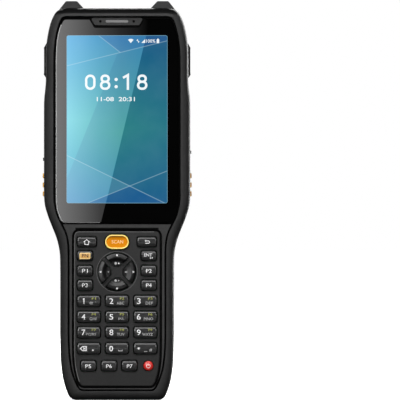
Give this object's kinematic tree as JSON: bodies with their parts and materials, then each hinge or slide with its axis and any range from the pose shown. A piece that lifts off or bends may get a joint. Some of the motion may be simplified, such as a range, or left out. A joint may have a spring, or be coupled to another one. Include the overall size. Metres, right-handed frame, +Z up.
{
  "type": "portable barcode data terminal",
  "caption": "Rugged handheld data terminal: tall touch display head, narrower keypad handle, raised rear spine with a scan window, camera, strap arch and removable battery.",
  "frame": {"origin": "centre of the bounding box footprint, at the flat bottom end", "axes": "+Z up the length of the device, the display and keypad face -Y, +X to the right of a person who looks at the display"},
  "size_m": [0.0768, 0.034, 0.2055],
  "materials": {
    "front_frame": "fine satin",
    "front_deck": "satin",
    "touch_glass": "polished, black printed border",
    "display_module": "lit display",
    "keypad_panel": "satin",
    "dome_board": "satin",
    "main_board": "satin",
    "rear_housing": "fine texture",
    "corner_bumper_left": "fine satin",
    "corner_bumper_right": "fine satin",
    "case_screws": "dark plated",
    "scan_window": "polished",
    "scan_engine": "satin",
    "rear_window_plate": "polished, yellow band",
    "camera_module": "polished",
    "flash_lens": "polished",
    "grille_cover": "fine texture",
    "loudspeaker": "satin",
    "earpiece_mesh": "fine mesh",
    "earpiece": "satin",
    "battery_contacts": "plated",
    "port_cover_pin": "bare",
    "usb_socket": "bare",
    "battery_case": "fine texture",
    "battery_cell": "foil",
    "latch_left": "satin",
    "latch_right": "satin",
    "port_cover": "satin",
    "volume_rocker": "satin",
    "side_button_left": "satin, orange ribs",
    "side_button_right": "satin, orange ribs",
    "key_scan": "satin",
    "key_nav_up": "satin",
    "key_nav_left": "satin",
    "key_nav_down": "satin",
    "key_nav_right": "satin",
    "key_home": "satin",
    "key_back": "satin",
    "key_fn": "satin",
    "key_ent": "satin",
    "key_p1": "satin",
    "key_p2": "satin",
    "key_p3": "satin",
    "key_p4": "satin",
    "key_1": "satin",
    "key_2": "satin",
    "key_3": "satin",
    "key_4": "satin",
    "key_5": "satin",
    "key_6": "satin",
    "key_7": "satin",
    "key_8": "satin",
    "key_9": "satin",
    "key_delete": "satin",
    "key_0": "satin",
    "key_star": "satin",
    "key_p5": "satin",
    "key_p6": "satin",
    "key_p7": "satin",
    "key_power": "satin"
  },
  "bodies": {
    "housing": {"front_frame": "front_frame", "front_deck": "front_deck", "touch_glass": "touch_glass", "display_module": "display_module", "keypad_panel": "keypad_panel", "dome_board": "dome_board", "main_board": "main_board", "rear_housing": "rear_housing", "corner_bumper_left": "corner_bumper_left", "corner_bumper_right": "corner_bumper_right", "case_screws": "case_screws", "scan_window": "scan_window", "scan_engine": "scan_engine", "rear_window_plate": "rear_window_plate", "camera_module": "camera_module", "flash_lens": "flash_lens", "grille_cover": "grille_cover", "loudspeaker": "loudspeaker", "earpiece_mesh": "earpiece_mesh", "earpiece": "earpiece", "battery_contacts": "battery_contacts", "port_cover_pin": "port_cover_pin", "usb_socket": "usb_socket"},
    "battery": {"battery_case": "battery_case", "battery_cell": "battery_cell"},
    "latch_left": {"latch_left": "latch_left"},
    "latch_right": {"latch_right": "latch_right"},
    "port_cover": {"port_cover": "port_cover"},
    "volume_rocker": {"volume_rocker": "volume_rocker"},
    "side_button_left": {"side_button_left": "side_button_left"},
    "side_button_right": {"side_button_right": "side_button_right"},
    "key_scan": {"key_scan": "key_scan"},
    "key_nav_up": {"key_nav_up": "key_nav_up"},
    "key_nav_left": {"key_nav_left": "key_nav_left"},
    "key_nav_down": {"key_nav_down": "key_nav_down"},
    "key_nav_right": {"key_nav_right": "key_nav_right"},
    "key_home": {"key_home": "key_home"},
    "key_back": {"key_back": "key_back"},
    "key_fn": {"key_fn": "key_fn"},
    "key_ent": {"key_ent": "key_ent"},
    "key_p1": {"key_p1": "key_p1"},
    "key_p2": {"key_p2": "key_p2"},
    "key_p3": {"key_p3": "key_p3"},
    "key_p4": {"key_p4": "key_p4"},
    "key_1": {"key_1": "key_1"},
    "key_2": {"key_2": "key_2"},
    "key_3": {"key_3": "key_3"},
    "key_4": {"key_4": "key_4"},
    "key_5": {"key_5": "key_5"},
    "key_6": {"key_6": "key_6"},
    "key_7": {"key_7": "key_7"},
    "key_8": {"key_8": "key_8"},
    "key_9": {"key_9": "key_9"},
    "key_delete": {"key_delete": "key_delete"},
    "key_0": {"key_0": "key_0"},
    "key_star": {"key_star": "key_star"},
    "key_p5": {"key_p5": "key_p5"},
    "key_p6": {"key_p6": "key_p6"},
    "key_p7": {"key_p7": "key_p7"},
    "key_power": {"key_power": "key_power"}
  },
  "joints": [
    {"name": "battery_slide", "type": "slide", "parent": "housing", "child": "battery", "axis": [0, 1, 0], "range_m": [0, 0.03]},
    {"name": "catch_left_slide", "type": "slide", "parent": "housing", "child": "latch_left", "axis": [0, 0, 1], "range_m": [0, 0.0022], "stiffness_N_per_m": 300},
    {"name": "catch_right_slide", "type": "slide", "parent": "housing", "child": "latch_right", "axis": [0, 0, 1], "range_m": [0, 0.0022], "stiffness_N_per_m": 300},
    {"name": "cover_hinge", "type": "hinge", "parent": "housing", "child": "port_cover", "pos_m": [0.03675, 0.00415, 0.1747], "axis": [0, 0, 1], "range_deg": [0, 100]},
    {"name": "edge_volume_rock", "type": "hinge", "parent": "housing", "child": "volume_rocker", "pos_m": [-0.0353, -0.0012, 0.1747], "axis": [0, 1, 0], "range_deg": [-3, 3], "stiffness_Nm_per_rad": 0.05},
    {"name": "fire_left_slide", "type": "slide", "parent": "housing", "child": "side_button_left", "axis": [1, 0, 0], "range_m": [0, 0.0008], "stiffness_N_per_m": 500},
    {"name": "fire_right_slide", "type": "slide", "parent": "housing", "child": "side_button_right", "axis": [-1, 0, 0], "range_m": [0, 0.0008], "stiffness_N_per_m": 500},
    {"name": "key_scan_slide", "type": "slide", "parent": "housing", "child": "key_scan", "axis": [0, 1, 0], "range_m": [0, 0.0008], "stiffness_N_per_m": 400},
    {"name": "key_nav_up_slide", "type": "slide", "parent": "housing", "child": "key_nav_up", "axis": [0, 1, 0], "range_m": [0, 0.0008], "stiffness_N_per_m": 400},
    {"name": "key_nav_left_slide", "type": "slide", "parent": "housing", "child": "key_nav_left", "axis": [0, 1, 0], "range_m": [0, 0.0008], "stiffness_N_per_m": 400},
    {"name": "key_nav_down_slide", "type": "slide", "parent": "housing", "child": "key_nav_down", "axis": [0, 1, 0], "range_m": [0, 0.0008], "stiffness_N_per_m": 400},
    {"name": "key_nav_right_slide", "type": "slide", "parent": "housing", "child": "key_nav_right", "axis": [0, 1, 0], "range_m": [0, 0.0008], "stiffness_N_per_m": 400},
    {"name": "key_home_slide", "type": "slide", "parent": "housing", "child": "key_home", "axis": [0, 1, 0], "range_m": [0, 0.0008], "stiffness_N_per_m": 400},
    {"name": "key_back_slide", "type": "slide", "parent": "housing", "child": "key_back", "axis": [0, 1, 0], "range_m": [0, 0.0008], "stiffness_N_per_m": 400},
    {"name": "key_fn_slide", "type": "slide", "parent": "housing", "child": "key_fn", "axis": [0, 1, 0], "range_m": [0, 0.0008], "stiffness_N_per_m": 400},
    {"name": "key_ent_slide", "type": "slide", "parent": "housing", "child": "key_ent", "axis": [0, 1, 0], "range_m": [0, 0.0008], "stiffness_N_per_m": 400},
    {"name": "key_p1_slide", "type": "slide", "parent": "housing", "child": "key_p1", "axis": [0, 1, 0], "range_m": [0, 0.0008], "stiffness_N_per_m": 400},
    {"name": "key_p2_slide", "type": "slide", "parent": "housing", "child": "key_p2", "axis": [0, 1, 0], "range_m": [0, 0.0008], "stiffness_N_per_m": 400},
    {"name": "key_p3_slide", "type": "slide", "parent": "housing", "child": "key_p3", "axis": [0, 1, 0], "range_m": [0, 0.0008], "stiffness_N_per_m": 400},
    {"name": "key_p4_slide", "type": "slide", "parent": "housing", "child": "key_p4", "axis": [0, 1, 0], "range_m": [0, 0.0008], "stiffness_N_per_m": 400},
    {"name": "key_1_slide", "type": "slide", "parent": "housing", "child": "key_1", "axis": [0, 1, 0], "range_m": [0, 0.0008], "stiffness_N_per_m": 400},
    {"name": "key_2_slide", "type": "slide", "parent": "housing", "child": "key_2", "axis": [0, 1, 0], "range_m": [0, 0.0008], "stiffness_N_per_m": 400},
    {"name": "key_3_slide", "type": "slide", "parent": "housing", "child": "key_3", "axis": [0, 1, 0], "range_m": [0, 0.0008], "stiffness_N_per_m": 400},
    {"name": "key_4_slide", "type": "slide", "parent": "housing", "child": "key_4", "axis": [0, 1, 0], "range_m": [0, 0.0008], "stiffness_N_per_m": 400},
    {"name": "key_5_slide", "type": "slide", "parent": "housing", "child": "key_5", "axis": [0, 1, 0], "range_m": [0, 0.0008], "stiffness_N_per_m": 400},
    {"name": "key_6_slide", "type": "slide", "parent": "housing", "child": "key_6", "axis": [0, 1, 0], "range_m": [0, 0.0008], "stiffness_N_per_m": 400},
    {"name": "key_7_slide", "type": "slide", "parent": "housing", "child": "key_7", "axis": [0, 1, 0], "range_m": [0, 0.0008], "stiffness_N_per_m": 400},
    {"name": "key_8_slide", "type": "slide", "parent": "housing", "child": "key_8", "axis": [0, 1, 0], "range_m": [0, 0.0008], "stiffness_N_per_m": 400},
    {"name": "key_9_slide", "type": "slide", "parent": "housing", "child": "key_9", "axis": [0, 1, 0], "range_m": [0, 0.0008], "stiffness_N_per_m": 400},
    {"name": "key_delete_slide", "type": "slide", "parent": "housing", "child": "key_delete", "axis": [0, 1, 0], "range_m": [0, 0.0008], "stiffness_N_per_m": 400},
    {"name": "key_0_slide", "type": "slide", "parent": "housing", "child": "key_0", "axis": [0, 1, 0], "range_m": [0, 0.0008], "stiffness_N_per_m": 400},
    {"name": "key_star_slide", "type": "slide", "parent": "housing", "child": "key_star", "axis": [0, 1, 0], "range_m": [0, 0.0008], "stiffness_N_per_m": 400},
    {"name": "key_p5_slide", "type": "slide", "parent": "housing", "child": "key_p5", "axis": [0, 1, 0], "range_m": [0, 0.0008], "stiffness_N_per_m": 400},
    {"name": "key_p6_slide", "type": "slide", "parent": "housing", "child": "key_p6", "axis": [0, 1, 0], "range_m": [0, 0.0008], "stiffness_N_per_m": 400},
    {"name": "key_p7_slide", "type": "slide", "parent": "housing", "child": "key_p7", "axis": [0, 1, 0], "range_m": [0, 0.0008], "stiffness_N_per_m": 400},
    {"name": "key_power_slide", "type": "slide", "parent": "housing", "child": "key_power", "axis": [0, 1, 0], "range_m": [0, 0.0008], "stiffness_N_per_m": 400}
  ]
}
